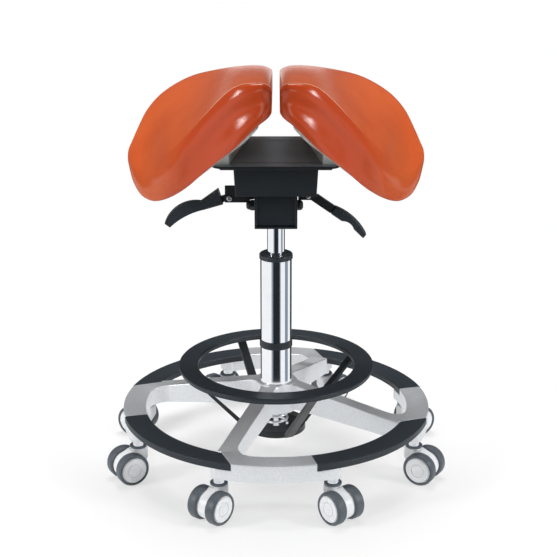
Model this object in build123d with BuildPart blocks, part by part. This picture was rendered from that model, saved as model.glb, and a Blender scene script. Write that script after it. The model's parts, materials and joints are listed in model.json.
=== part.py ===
from build123d import *
import math
import os

os.makedirs("parts", exist_ok=True)

# Split-saddle clinic stool. Millimetres, +Z up, the floor at Z = 0, the column on the Z axis,
# the front of the stool towards -Y.

# Clearances
running_gap = 0.3  # between bodies that turn or slide on each other
pin_clearance = 0.05  # radial, a pin or a shaft in its bore
fit_clearance = 0.02  # radial, a piece pressed or glued in its seat
cut_margin = 1  # a cut starts this far outside what it cuts
cushion_gap = 0.8  # between a cushion and the shell that carries it

# Castors
wheel_diameter = 52
tyre_width = 17
tyre_thickness = 5
tyre_shoulder = 3.5
wheel_gap = 0.8  # between a wheel and the fork web
web_thickness = 16
web_radius = 21.5
castor_trail = 19
axle_diameter = 8
disc_dish = 1.6  # depth of the two round grooves in a wheel disc
disc_cap_diameter = 20
disc_groove_width = 1.2
rim_groove_width = 1.4  # beside the tyre
stem_diameter = 11
stem_nut_diameter = 16  # bright hexagon between the collar and the base
stem_grip = 17  # length of stem inside the base
stem_in_fork = 16
neck_diameter = 26
neck_height = 1.7
neck_skirt = 16  # upright front of the fork, under the neck
collar_diameter = 27
collar_height = 4
collar_recess_diameter = 20
collar_recess_depth = 2
stem_reveal = 5  # between the collar and the base

# Cast base
castor_circle_radius = 235
castor_half_angle = 21.4  # from the middle of a T to each of its castors
boss_radius = 13
boss_foot_radius = 10.5
boss_drop = 4  # the castor bosses reach below the T
foot_ring_overhang = 13  # from the castor circle out to the rim of the foot ring
foot_ring_width = 36
tee_height = 28
tee_fillet = 24
spoke_count = 4
spoke_root_width = 24
spoke_tip_width = 26
spoke_rise = 38  # the top of a spoke climbs this much from the T to the hub
spoke_root_depth = 42
hub_radius = 33
hub_fillet = 16  # in plan, where a spoke leaves the hub
hub_height = 50
hub_lip = 2
hub_shoulder = 1  # a spoke keeps its full depth this far outside the hub
spoke_foot_run = 8  # the underside of a spoke is level this far inside the T
spoke_head_run = 2  # and its top this far

# Foot-rest arcs
arc_thickness = 11
arc_proud = 1  # the arcs stand out past the T
arc_end_angle = 14.5  # from the middle of a T, on the side without a spoke
arc_cut_outer_angle = 15.5  # on the spoke side, at the rim
arc_cut_inner_angle = 23.0  # on the spoke side, where the spoke comes in
arc_edge_round = 2.5

# Column
tube_diameter = 50
tube_wall = 2
tube_floor = 4
tube_length = 256
band_diameter = 52.4
band_height = 12
band_above_hub = 58
collar_cap_diameter = 53
collar_cap_height = 8
bush_length = 90
gas_diameter = 28
gas_wall = 2
gas_below_cap = 150
gas_above_socket = 4
gas_head = 42  # solid head that carries the valve
piston_rod_diameter = 10
piston_height = 12
piston_above_floor = 218
bearing_height = 5
bearing_diameter = 30
bearing_groove = 1  # depth, and half the width
valve_diameter = 8
valve_length = 30
valve_reveal = 7.5
valve_chamfer = 1

# Swivel bracket and tilt pivot
bracket_width = 66
bracket_depth = 84
bracket_height = 51
bracket_wall = 3.5
bracket_above_cap = 52  # underside of the bracket over the column cap
bracket_flange = 2.5  # the floor and the sides stand out past the front
bracket_fold = 3  # round foot of the front
bracket_low_side = 27  # height of the side walls behind the pivot
socket_diameter = 40
socket_height = 27
pivot_y = -28
pivot_above_bracket = 34
tilt_bolt_diameter = 10
bolt_head_diameter = 16
bolt_head_length = 9
nut_diameter = 17
nut_length = 13

# Mechanism box
box_width = 128
box_foot_width = 123
box_depth = 150
box_height = 45.5
box_wall = 3
box_above_bracket = 60
ear_thickness = 5
ear_width = 20
ear_gap = 0.5
ear_set_back = 4  # the shank of an ear stands behind the bolt, so that it can lean forward
ear_relief = 4  # the bracket's sides slope away behind the ears

# Seat plate
plate_thickness = 4
plate_front_y = -84
plate_back_y = 116
plate_front_half_width = 98
plate_back_half_width = 74
plate_corner = 14
plate_lip = 2

# Seat shells and cushions
shell_thickness = 7
rib_width = 26
rib_front_x = 71  # inner side of the mounting rib at its front end
rib_back_x = 46
rib_front_y = -72
rib_back_y = 92
shell_inner_x = 26
shell_outer_x = 176
shell_inset = 26  # from the cushion's front and rear edges
shell_corner = 20
seat_gap = 11
top_crown = 5
front_swell = 9
rear_swell = 9
under_sag = 2
full_swell_depth = 120  # a cut shallower than this swells less
# Each station is a cut across one seat half, seen from the side: its distance from the middle of the
# seat, then the front edge and the rear edge, each with its upper and lower corner above the seat plate.
# distance, front y, front top, front bottom, rear y, rear top, rear bottom
stations = [
    (seat_gap / 2, -142, 124, 97, 138, 100, 70),
    (25, -148, 138, 75, 148, 110, 52),
    (60, -137, 130, 38, 150, 109, 45),
    (100, -110, 89, 0, 149, 105, 38),
    (140, -82, 44, -40, 141, 97, 26),
    (180, -58, 6, -63, 122, 77, 8),
    (206, -36, -8, -60, 98, 51, -8),
    (222, -8, -9, -43, 62, 22, -16),
    (230, 16, -6, -23, 40, 4, -10),
]
seat_screw_diameter = 6
screw_head_diameter = 12
screw_head_height = 3.5
screw_grip = 14
screw_inset = 8  # from the ends of the mounting rib

# Hand levers
lever_bracket_thickness = 4
hanger_width = 14
left_hanger_inset = 18  # from the inside of the box wall
right_hanger_inset = 24
bracket_margin = 7  # plate left round a lever pin
lever_plane_gap = 6  # from the middle plane of a lever to its bracket
lever_bar_height = 9
lever_bar_width = 9
lever_pin_diameter = 5
lever_pin_head = 9
lever_pin_tail = 1  # past the far side of the lever
left_pivot_x = -72.5
left_pivot_rise = 6  # above the tilt pivot
left_arm_end_x = 6
left_drop = 18  # degrees below level
ferrule_start = 13  # along the lever from its pivot
ferrule_end = 46
ferrule_rise = 5
ferrule_height = 25
neck_grip_height = 14
grip_width = 20
grip_round = 4
paddle_width = 16
paddle_length = 64
paddle_crown = 5
paddle_hook = 17
paddle_tip = 6
paddle_lap = 2  # the paddle starts this far inside the neck
paddle_inset = 1
right_pivot_x = 50
right_pivot_rise = 10
right_drop = 35
sleeve_start = 12
sleeve_end = 46
sleeve_height = 13
sleeve_rise = 2
right_grip_length = 66
right_grip_crown = 2
right_grip_tip = 8
finger_hollow_begin = 22  # along the grip, on its underside
finger_hollow_end = 45
finger_hollow_depth = 4

# Foot release
release_ring_radius = 157
release_ring_width = 31
release_ring_height = 9
release_ring_step = 1.6
release_ring_above_hub = 20
strap_width = 14
strap_thickness = 3
strap_angle = 25
strap_foot = 16
strap_lift = 1  # above the underside of the cup
cup_radius = 48
cup_floor = 4
cup_wall = 3
cup_height = 11
cup_hole_radius = 6.5
washer_radius = 6.5
washer_height = 4
tip_gap = 0.4  # room for the cup and the washer to rock
stud_diameter = 8
stud_flange_diameter = 20
stud_flange_height = 4
spring_wire = 4
spring_radius = 18
spring_turns = 2.5
spring_free_gap = 1.9  # room under the spring for the cup to rock
spring_seat_gap = 0.5
hub_to_cup = 31

# Heights worked out from the stack
wheel_radius = wheel_diameter / 2
neck_top = wheel_diameter + running_gap + neck_height
collar_bottom = neck_top + running_gap
collar_top = collar_bottom + collar_height
boss_bottom = collar_top + stem_reveal
tee_bottom = boss_bottom + boss_drop
tee_top = tee_bottom + tee_height
hub_top = tee_top + spoke_rise + hub_lip
hub_bottom = hub_top - hub_height
arc_bottom = tee_top - arc_thickness + running_gap
tube_top = hub_bottom + tube_length
cap_top = tube_top + collar_cap_height
bracket_bottom = cap_top + bracket_above_cap
bracket_top = bracket_bottom + bracket_height
pivot_z = bracket_bottom + pivot_above_bracket
gas_bottom = cap_top - gas_below_cap
gas_top = bracket_bottom + socket_height + gas_above_socket
box_bottom = bracket_bottom + box_above_bracket
box_top = box_bottom + box_height
plate_top = box_top + plate_thickness
ring_bottom = hub_top + release_ring_above_hub
ring_top = ring_bottom + release_ring_height
cup_floor_top = hub_bottom - hub_to_cup
cup_floor_bottom = cup_floor_top - cup_floor
washer_top = cup_floor_bottom - tip_gap
washer_bottom = washer_top - washer_height
stud_flange_top = washer_bottom - tip_gap

# Radii worked out from the sizes above
foot_ring_radius = castor_circle_radius + foot_ring_overhang
foot_ring_inner = foot_ring_radius - foot_ring_width
arc_rim = foot_ring_radius + arc_proud
tube_radius = tube_diameter / 2
gas_radius = gas_diameter / 2
stem_radius = stem_diameter / 2
axle_radius = axle_diameter / 2
tyre_bore = wheel_radius - tyre_thickness
wheel_inner_face = web_thickness / 2 + wheel_gap
tee_angles = [270, 0, 90, 180]
spoke_angles = [angle - castor_half_angle for angle in tee_angles]


def polar(radius, angle):
    return (radius * math.cos(math.radians(angle)), radius * math.sin(math.radians(angle)))


def radial_plane(angle):
    """Plane through the Z axis: local x runs outwards, local y is up."""
    along = polar(1, angle)
    return Plane(origin=(0, 0, 0), x_dir=(*along, 0), z_dir=(along[1], -along[0], 0))


def finish(builder, label):
    builder.part.label = label
    export_step(builder.part, f"parts/{label}.step")


# Castors: name, middle of its T, side of the T, direction in which the wheels trail
castors = [
    ("front_left", 270, -1, 231),
    ("front_right", 270, 1, 309),
    ("right_front", 0, -1, 330),
    ("right_back", 0, 1, 30),
    ("back_right", 90, -1, 52.3),
    ("back_left", 90, 1, 127.7),
    ("left_back", 180, -1, 150),
    ("left_front", 180, 1, 210),
]
stem_points = [polar(castor_circle_radius, tee + side * castor_half_angle) for _, tee, side, _ in castors]

for (place, tee, side, trail_angle), (stem_x, stem_y) in zip(castors, stem_points):
    trail_x, trail_y = polar(castor_trail, trail_angle)
    along = polar(1, trail_angle)
    axle_plane = Plane(
        origin=(stem_x + trail_x, stem_y + trail_y, wheel_radius),
        x_dir=(*along, 0),
        z_dir=(along[1], -along[0], 0),
    )
    web_top = neck_top - neck_height - wheel_radius

    with BuildPart() as fork:
        with BuildSketch(axle_plane):
            Circle(web_radius)
            with Locations((-castor_trail, web_top - neck_skirt / 2)):
                Rectangle(neck_diameter, neck_skirt)
            make_hull()
        extrude(amount=web_thickness / 2, both=True)
        with BuildSketch(Plane((stem_x, stem_y, neck_top))):
            Circle(neck_diameter / 2)
        extrude(amount=-neck_height)
        with BuildSketch(Plane((stem_x, stem_y, neck_top))):
            Circle(stem_radius + pin_clearance)
        extrude(amount=-stem_in_fork - running_gap, mode=Mode.SUBTRACT)
        with BuildSketch(axle_plane):
            Circle(axle_radius + pin_clearance)
        extrude(amount=web_thickness, both=True, mode=Mode.SUBTRACT)
    finish(fork, f"castor_{place}_fork")

    with BuildPart() as wheels:
        for hand in (-1, 1):
            inner_face = axle_plane.offset(hand * wheel_inner_face)
            outer_face = axle_plane.offset(hand * (wheel_inner_face + tyre_width))
            with BuildSketch(inner_face):
                Circle(tyre_bore - fit_clearance)
                Circle(axle_radius + fit_clearance, mode=Mode.SUBTRACT)
            extrude(amount=hand * tyre_width)
            with BuildSketch(outer_face):
                Circle(tyre_bore)
                Circle(tyre_bore - rim_groove_width, mode=Mode.SUBTRACT)
                Circle(disc_cap_diameter / 2 + disc_groove_width)
                Circle(disc_cap_diameter / 2, mode=Mode.SUBTRACT)
            extrude(amount=-hand * disc_dish, mode=Mode.SUBTRACT)
        with BuildSketch(axle_plane):
            Circle(axle_radius)
        extrude(amount=wheel_inner_face + tyre_width - disc_dish, both=True)
    finish(wheels, f"castor_{place}_wheels")

    with BuildPart() as tyres:
        for hand in (-1, 1):
            with BuildSketch(axle_plane.offset(hand * wheel_inner_face)):
                Circle(wheel_radius)
                Circle(tyre_bore, mode=Mode.SUBTRACT)
            extrude(amount=hand * tyre_width)
        rims = tyres.edges().filter_by(GeomType.CIRCLE).group_by(SortBy.RADIUS)[-1]
        chamfer(rims, length=tyre_shoulder, length2=tyre_shoulder / 2)
    finish(tyres, f"castor_{place}_tyres")

with BuildPart() as castor_stems:
    with BuildSketch(Plane.XY.offset(neck_top - stem_in_fork)):
        with Locations(*stem_points):
            Circle(stem_radius)
    extrude(amount=boss_bottom + stem_grip - (neck_top - stem_in_fork))
    with BuildSketch(Plane.XY.offset(collar_top - collar_recess_depth)):
        with Locations(*stem_points):
            RegularPolygon(stem_nut_diameter / 2, 6)
    extrude(amount=stem_reveal + collar_recess_depth)
finish(castor_stems, "castor_stems")

with BuildPart() as castor_collars:
    with BuildSketch(Plane.XY.offset(collar_bottom)):
        with Locations(*stem_points):
            Circle(collar_diameter / 2)
            Circle(stem_radius + pin_clearance, mode=Mode.SUBTRACT)
    extrude(amount=collar_height)
    with BuildSketch(Plane.XY.offset(collar_top)):
        with Locations(*stem_points):
            Circle(collar_recess_diameter / 2)
    extrude(amount=-collar_recess_depth, mode=Mode.SUBTRACT)
    collar_rims = castor_collars.edges().filter_by(GeomType.CIRCLE).group_by(SortBy.RADIUS)[-1]
    chamfer(collar_rims, length=collar_height / 4)
finish(castor_collars, "castor_collars")


def arc_outline(index, clearance, inner, outer):
    """Corners of one foot-rest arc in plan, from T number index round to the next one."""
    begin = tee_angles[index] + arc_end_angle
    rim_end = tee_angles[index] + 90 - arc_cut_outer_angle
    spoke_end = tee_angles[index] + 90 - arc_cut_inner_angle
    slack = math.degrees(clearance / foot_ring_inner)
    middle = (begin + rim_end) / 2
    swell = 1 / math.cos(math.radians((rim_end - begin) / 4 + 2))
    return [
        polar(inner, begin - slack),
        polar(outer, begin - slack),
        polar(outer * swell, (begin + middle) / 2),
        polar(outer * swell, middle),
        polar(outer * swell, (middle + rim_end) / 2),
        polar(outer, rim_end + slack),
        polar(inner, spoke_end + slack),
        polar(inner, middle),
    ]


# Cast base: the plan of hub, spokes and T ends, cut to height by a turned profile
with BuildPart() as base_casting:
    with BuildSketch() as plan:
        Circle(hub_radius)
        for tee, spoke in zip(tee_angles, spoke_angles):
            with BuildSketch(mode=Mode.PRIVATE) as tee_bar:
                Circle(foot_ring_radius)
                Circle(foot_ring_inner, mode=Mode.SUBTRACT)
                with BuildLine():
                    Polyline(
                        (0, 0),
                        polar(2 * foot_ring_radius, tee - castor_half_angle),
                        polar(2 * foot_ring_radius, tee + castor_half_angle),
                        close=True,
                    )
                make_face(mode=Mode.INTERSECT)
            add(tee_bar.sketch)
            for end in (-castor_half_angle, castor_half_angle):
                with Locations(polar(castor_circle_radius, tee + end)):
                    Circle(boss_radius)
            root = spoke_root_width / 2
            tip = spoke_tip_width / 2
            out = Vector(*polar(1, spoke))
            across = out.rotate(Axis.Z, 90)
            with BuildLine():
                Polyline(
                    across * root,
                    out * castor_circle_radius + across * tip,
                    out * castor_circle_radius - across * tip,
                    across * -root,
                    close=True,
                )
            make_face()
        inner_corners = [
            corner
            for corner in plan.vertices()
            if abs(math.hypot(corner.X, corner.Y) - foot_ring_inner) < 0.5
            and any(
                0 < (math.degrees(math.atan2(corner.Y, corner.X)) - spoke) % 360 < castor_half_angle / 2
                for spoke in spoke_angles
            )
        ]
        fillet(inner_corners, tee_fillet)
        hub_corners = [
            corner for corner in plan.vertices() if abs(math.hypot(corner.X, corner.Y) - hub_radius) < 0.5
        ]
        fillet(hub_corners, hub_fillet)
    extrude(amount=hub_top)
    with BuildSketch(Plane.XZ):
        with BuildLine():
            Polyline(
                (0, hub_bottom),
                (hub_radius + hub_shoulder, hub_bottom),
                (hub_radius + hub_shoulder, tee_top + spoke_rise - spoke_root_depth),
                (foot_ring_inner - spoke_foot_run, tee_bottom),
                (2 * foot_ring_radius, tee_bottom),
                (2 * foot_ring_radius, tee_top),
                (foot_ring_inner - spoke_head_run, tee_top),
                (hub_radius + hub_shoulder, tee_top + spoke_rise),
                (hub_radius + hub_shoulder, hub_top),
                (0, hub_top),
                close=True,
            )
        make_face()
    revolve(axis=Axis.Z, mode=Mode.INTERSECT)
    with BuildSketch(Plane.XY.offset(boss_bottom)):
        with Locations(*stem_points):
            Circle(boss_foot_radius)
    boss_reach = boss_drop + tee_height / 2
    boss_draft = math.degrees(math.atan2(boss_radius - boss_foot_radius, boss_reach))
    extrude(amount=boss_reach, taper=-boss_draft)
    for index in range(spoke_count):
        with BuildSketch(Plane.XY.offset(arc_bottom - running_gap)):
            with BuildLine():
                Polyline(*arc_outline(index, running_gap, foot_ring_inner - running_gap, arc_rim), close=True)
            make_face()
            Circle(foot_ring_inner - running_gap, mode=Mode.SUBTRACT)
        extrude(amount=spoke_rise, mode=Mode.SUBTRACT)
    with BuildSketch(Plane.XY.offset(boss_bottom)):
        with Locations(*stem_points):
            Circle(stem_radius + fit_clearance)
    extrude(amount=stem_grip + fit_clearance, mode=Mode.SUBTRACT)
    with BuildSketch(Plane.XY.offset(hub_bottom)):
        Circle(tube_radius + fit_clearance)
    extrude(amount=hub_height, mode=Mode.SUBTRACT)
finish(base_casting, "base_casting")

arc_names = ["front_right", "back_right", "back_left", "front_left"]
for index, place in enumerate(arc_names):
    with BuildPart() as foot_rest_arc:
        with BuildSketch(Plane.XY.offset(arc_bottom)):
            Circle(arc_rim)
            Circle(foot_ring_inner, mode=Mode.SUBTRACT)
            with BuildLine():
                Polyline(*arc_outline(index, 0, foot_ring_inner, arc_rim), close=True)
            make_face(mode=Mode.INTERSECT)
        extrude(amount=arc_thickness)
        top_rims = foot_rest_arc.edges().filter_by(GeomType.CIRCLE).group_by(Axis.Z)[-1]
        chamfer(top_rims, length=arc_edge_round / 2, length2=arc_edge_round)
    finish(foot_rest_arc, f"foot_rest_arc_{place}")

# Column
with BuildPart() as stand_tube:
    with BuildSketch(Plane.XY.offset(hub_bottom)):
        Circle(tube_radius)
    extrude(amount=tube_length)
    with BuildSketch(Plane.XY.offset(hub_bottom + tube_floor)):
        Circle(tube_radius - tube_wall)
    extrude(amount=tube_length, mode=Mode.SUBTRACT)
finish(stand_tube, "stand_tube")

with BuildPart() as column_band:
    with BuildSketch(Plane.XY.offset(hub_top + band_above_hub)):
        Circle(band_diameter / 2)
        Circle(tube_radius + fit_clearance, mode=Mode.SUBTRACT)
    extrude(amount=band_height)
finish(column_band, "column_band")

with BuildPart() as column_collar:
    with BuildSketch(Plane.XY.offset(tube_top)):
        Circle(collar_cap_diameter / 2)
        Circle(gas_radius + running_gap, mode=Mode.SUBTRACT)
    extrude(amount=collar_cap_height)
    outer_rims = column_collar.edges().filter_by(GeomType.CIRCLE).group_by(SortBy.RADIUS)[-1]
    fillet(outer_rims.sort_by(Axis.Z)[-1], collar_cap_height / 3)
finish(column_collar, "column_collar")

with BuildPart() as guide_bush:
    with BuildSketch(Plane.XY.offset(tube_top - bush_length)):
        Circle(tube_radius - tube_wall - fit_clearance)
        Circle(gas_radius + pin_clearance, mode=Mode.SUBTRACT)
    extrude(amount=bush_length)
finish(guide_bush, "guide_bush")

bearing_top = hub_bottom + tube_floor + bearing_height
piston_top = hub_bottom + tube_floor + piston_above_floor + piston_height
with BuildPart() as thrust_bearing:
    with BuildSketch(Plane.XY.offset(bearing_top - bearing_height)):
        Circle(bearing_diameter / 2)
    extrude(amount=bearing_height)
    with BuildSketch(Plane.XY.offset(bearing_top - bearing_height / 2)):
        Circle(bearing_diameter / 2 + cut_margin)
        Circle(bearing_diameter / 2 - bearing_groove, mode=Mode.SUBTRACT)
    extrude(amount=bearing_groove, both=True, mode=Mode.SUBTRACT)
finish(thrust_bearing, "thrust_bearing")

with BuildPart() as piston_rod:
    with BuildSketch(Plane.XY.offset(bearing_top)):
        Circle(piston_rod_diameter / 2)
    extrude(amount=piston_top - bearing_top)
    with BuildSketch(Plane.XY.offset(piston_top)):
        Circle(gas_radius - gas_wall - pin_clearance)
    extrude(amount=-piston_height)
finish(piston_rod, "piston_rod")

with BuildPart() as gas_cylinder:
    with BuildSketch(Plane.XY.offset(gas_bottom)):
        Circle(gas_radius)
    extrude(amount=gas_top - gas_bottom)
    with BuildSketch(Plane.XY.offset(gas_bottom + gas_wall)):
        Circle(gas_radius - gas_wall)
    extrude(amount=gas_top - gas_bottom - gas_wall - gas_head, mode=Mode.SUBTRACT)
    with BuildSketch(Plane.XY.offset(gas_bottom)):
        Circle(piston_rod_diameter / 2 + pin_clearance)
    extrude(amount=gas_wall, mode=Mode.SUBTRACT)
    with BuildSketch(Plane.XY.offset(gas_top)):
        Circle(valve_diameter / 2 + pin_clearance)
    extrude(amount=-valve_length, mode=Mode.SUBTRACT)
finish(gas_cylinder, "gas_cylinder")

with BuildPart() as valve_button:
    with BuildSketch(Plane.XY.offset(gas_top + valve_reveal)):
        Circle(valve_diameter / 2)
    extrude(amount=-valve_length / 2)
    chamfer(valve_button.edges().filter_by(GeomType.CIRCLE).sort_by(Axis.Z)[-1], length=valve_chamfer)
finish(valve_button, "valve_button")

# Swivel bracket: a folded tray on the gas cylinder, open at the top and behind
half_width = bracket_width / 2
half_depth = bracket_depth / 2
with BuildPart() as swivel_bracket:
    with BuildSketch(Plane.XY.offset(bracket_bottom)):
        Rectangle(bracket_width, bracket_depth)
    extrude(amount=bracket_height)
    with BuildSketch(Plane.XY.offset(bracket_bottom + bracket_wall)):
        with Locations((0, bracket_wall)):
            Rectangle(bracket_width - 2 * bracket_wall, bracket_depth)
    extrude(amount=bracket_height, mode=Mode.SUBTRACT)
    with BuildSketch(Plane.YZ):
        with BuildLine():
            Polyline(
                (pivot_y + ear_width / 2, bracket_top + cut_margin),
                (pivot_y + ear_width / 2 + ear_relief, bracket_bottom + bracket_low_side),
                (half_depth + cut_margin, bracket_bottom + bracket_low_side / 2),
                (half_depth + cut_margin, bracket_top + cut_margin),
                close=True,
            )
        make_face()
    extrude(amount=bracket_width, both=True, mode=Mode.SUBTRACT)
    with BuildSketch(Plane.XY.offset(bracket_bottom)):
        Rectangle(bracket_width, bracket_depth + 2 * bracket_flange)
    extrude(amount=bracket_wall)
    with BuildSketch(Plane.XY.offset(bracket_bottom)):
        with Locations(*[(hand * (half_width - bracket_wall / 2), -half_depth) for hand in (-1, 1)]):
            Rectangle(bracket_wall, 2 * bracket_flange)
    extrude(amount=bracket_height)
    front_foot = bracket_bottom + bracket_wall
    with BuildSketch(Plane.YZ):
        with BuildLine():
            Line((-half_depth, front_foot), (-half_depth + bracket_fold, front_foot))
            RadiusArc(
                (-half_depth + bracket_fold, front_foot),
                (-half_depth, front_foot + bracket_fold),
                bracket_fold,
            )
            Line((-half_depth, front_foot + bracket_fold), (-half_depth, front_foot))
        make_face()
    extrude(amount=half_width - bracket_wall, both=True, mode=Mode.SUBTRACT)
    with BuildSketch(Plane.XY.offset(bracket_bottom)):
        Circle(socket_diameter / 2)
    extrude(amount=socket_height)
    with BuildSketch(Plane.XY.offset(bracket_bottom)):
        Circle(gas_radius + pin_clearance)
    extrude(amount=bracket_height, mode=Mode.SUBTRACT)
    with BuildSketch(Plane.YZ):
        with Locations((pivot_y, pivot_z)):
            Circle(tilt_bolt_diameter / 2 + fit_clearance)
    extrude(amount=bracket_width, both=True, mode=Mode.SUBTRACT)
finish(swivel_bracket, "swivel_bracket")

bolt_axis = Plane(origin=(0, pivot_y, pivot_z), x_dir=(0, 1, 0), z_dir=(1, 0, 0))
with BuildPart() as tilt_bolt:
    with BuildSketch(bolt_axis.offset(-half_width - nut_length / 2)):
        Circle(tilt_bolt_diameter / 2)
    extrude(amount=bracket_width + nut_length / 2)
    with BuildSketch(bolt_axis.offset(half_width)):
        Circle(bolt_head_diameter / 2)
    extrude(amount=bolt_head_length)
    head_rim = tilt_bolt.edges().filter_by(GeomType.CIRCLE).sort_by(Axis.X)[-1]
    fillet(head_rim, bolt_head_length * 0.6)
finish(tilt_bolt, "tilt_bolt")

with BuildPart() as tilt_cap_nut:
    with BuildSketch(bolt_axis.offset(-half_width)):
        RegularPolygon(nut_diameter / 2, 6)
    extrude(amount=-nut_length / 2)
    with BuildSketch(bolt_axis.offset(-half_width - nut_length / 2)):
        Circle(nut_diameter / 2 * 0.85)
    extrude(amount=-nut_length / 2)
    dome_rim = tilt_cap_nut.edges().filter_by(GeomType.CIRCLE).sort_by(Axis.X)[0]
    fillet(dome_rim, nut_length * 0.4)
    with BuildSketch(bolt_axis.offset(-half_width)):
        Circle(tilt_bolt_diameter / 2 + fit_clearance)
    extrude(amount=-nut_length / 2, mode=Mode.SUBTRACT)
finish(tilt_cap_nut, "tilt_cap_nut")

# Mechanism box: an upturned tray with two ears that reach down to the tilt bolt
half_box = box_depth / 2
with BuildPart() as mechanism_box:
    for shrink, mode in ((0, Mode.ADD), (box_wall, Mode.SUBTRACT)):
        with BuildSketch(Plane.XZ.offset(half_box - shrink)):
            with BuildLine():
                Polyline(
                    (-box_foot_width / 2 + shrink, box_bottom - shrink),
                    (box_foot_width / 2 - shrink, box_bottom - shrink),
                    (box_width / 2 - shrink, box_top - shrink),
                    (-box_width / 2 + shrink, box_top - shrink),
                    close=True,
                )
            make_face()
        extrude(amount=-(box_depth - 2 * shrink), mode=mode)
    for hand in (-1, 1):
        ear_face = hand * (half_width - bracket_wall - ear_gap)
        with BuildSketch(bolt_axis.offset(ear_face)):
            Circle(ear_width / 2)
            with Locations((ear_set_back, (box_top - pivot_z) / 2)):
                Rectangle(ear_width, box_top - pivot_z)
            Circle(tilt_bolt_diameter / 2 + pin_clearance, mode=Mode.SUBTRACT)
        extrude(amount=-hand * ear_thickness)
finish(mechanism_box, "mechanism_box")

rib_corners = [
    (rib_front_x, rib_front_y),
    (rib_front_x + rib_width, rib_front_y),
    (rib_back_x + rib_width, rib_back_y),
    (rib_back_x, rib_back_y),
]
screw_points = [
    (rib_front_x + rib_width / 2, rib_front_y + screw_inset),
    (rib_back_x + rib_width / 2, rib_back_y - screw_inset),
]
all_screw_points = [(hand * x, y) for hand in (-1, 1) for x, y in screw_points]

# Seat plate with a turned-down front lip
with BuildPart() as seat_plate:
    with BuildSketch(Plane.XY.offset(box_top)) as plate_plan:
        with BuildLine():
            Polyline(
                (-plate_front_half_width, plate_front_y),
                (plate_front_half_width, plate_front_y),
                (plate_back_half_width, plate_back_y),
                (-plate_back_half_width, plate_back_y),
                close=True,
            )
        make_face()
        fillet(plate_plan.vertices(), plate_corner)
    extrude(amount=plate_thickness)
    with BuildSketch(Plane.XY.offset(box_top)):
        with Locations((0, plate_front_y + plate_thickness / 2)):
            Rectangle(2 * (plate_front_half_width - plate_corner), plate_thickness)
    extrude(amount=-plate_lip)
    with BuildSketch(Plane.XY.offset(box_top)):
        with Locations(*all_screw_points):
            Circle(seat_screw_diameter / 2 + fit_clearance)
    extrude(amount=plate_thickness, mode=Mode.SUBTRACT)
finish(seat_plate, "seat_plate")

# Seat halves
def station_arcs(station):
    """End points and middle points of the four arcs round one cut: top, rear, underside, front."""
    _, front_y, front_top, front_bottom, rear_y, rear_top, rear_bottom = station
    share = min(1, (rear_y - front_y) / full_swell_depth)
    middle_y = (front_y + rear_y) / 2
    corners = [
        (front_y, plate_top + front_top),
        (rear_y, plate_top + rear_top),
        (rear_y, plate_top + rear_bottom),
        (front_y, plate_top + front_bottom),
    ]
    middles = [
        (middle_y, plate_top + (front_top + rear_top) / 2 + top_crown * share),
        (rear_y + rear_swell * share, plate_top + (rear_top + rear_bottom) / 2),
        (middle_y, plate_top + (front_bottom + rear_bottom) / 2 - under_sag * share),
        (front_y - front_swell * share, plate_top + (front_top + front_bottom) / 2),
    ]
    return corners, middles


def station_plane(hand, station):
    return Plane(origin=(hand * station[0], 0, 0), x_dir=(0, 1, 0), z_dir=(1, 0, 0))


def lowered(point, drop):
    return (point[0], point[1] - drop)


rib_top_drop = cushion_gap + shell_thickness / 2  # the rib ends inside the shell
for hand, place in ((-1, "left"), (1, "right")):
    with BuildPart() as cushion:
        for station in stations:
            corners, middles = station_arcs(station)
            with BuildSketch(station_plane(hand, station)):
                with BuildLine():
                    for number in range(4):
                        ThreePointArc(corners[number], middles[number], corners[(number + 1) % 4])
                make_face()
        loft()
    finish(cushion, f"cushion_{place}")

    # The shell follows the underside of the cushion, and its rib stands on the seat plate
    with BuildPart() as seat_shell:
        for station in stations:
            corners, middles = station_arcs(station)
            upper = [lowered(point, cushion_gap) for point in (corners[2], middles[2], corners[3])]
            lower = [lowered(point, shell_thickness) for point in upper]
            with BuildSketch(station_plane(hand, station)):
                with BuildLine():
                    ThreePointArc(*upper)
                    Line(upper[2], lower[2])
                    ThreePointArc(lower[2], lower[1], lower[0])
                    Line(lower[0], upper[0])
                make_face()
        loft()
        with BuildSketch() as shell_plan:
            with BuildLine():
                Polyline(
                    (hand * shell_inner_x, stations[1][1] + shell_inset),
                    (hand * stations[3][0], stations[3][1] + shell_inset),
                    (hand * shell_outer_x, stations[5][1] + shell_inset),
                    (hand * shell_outer_x, stations[5][4] - shell_inset),
                    (hand * shell_inner_x, stations[1][4] - shell_inset),
                    close=True,
                )
            make_face()
            fillet(shell_plan.vertices(), shell_corner)
        extrude(amount=2 * plate_top, mode=Mode.INTERSECT)
        with BuildPart(mode=Mode.PRIVATE) as under_seat:
            for station in stations:
                corners, middles = station_arcs(station)
                upper = [lowered(point, rib_top_drop) for point in (corners[2], middles[2], corners[3])]
                with BuildSketch(station_plane(hand, station)):
                    with BuildLine():
                        ThreePointArc(*upper)
                        Line(upper[2], (upper[2][0], 0))
                        Line((upper[2][0], 0), (upper[0][0], 0))
                        Line((upper[0][0], 0), upper[0])
                    make_face()
            loft()
            with BuildSketch(Plane.XY.offset(plate_top)):
                with BuildLine():
                    Polyline(*[(hand * x, y) for x, y in rib_corners], close=True)
                make_face()
            extrude(amount=plate_top, mode=Mode.INTERSECT)
        add(under_seat.part)
        with BuildSketch(Plane.XY.offset(plate_top)):
            with Locations(*[(hand * x, y) for x, y in screw_points]):
                Circle(seat_screw_diameter / 2 + fit_clearance)
        extrude(amount=screw_grip - plate_thickness, mode=Mode.SUBTRACT)
    finish(seat_shell, f"seat_shell_{place}")

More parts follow.
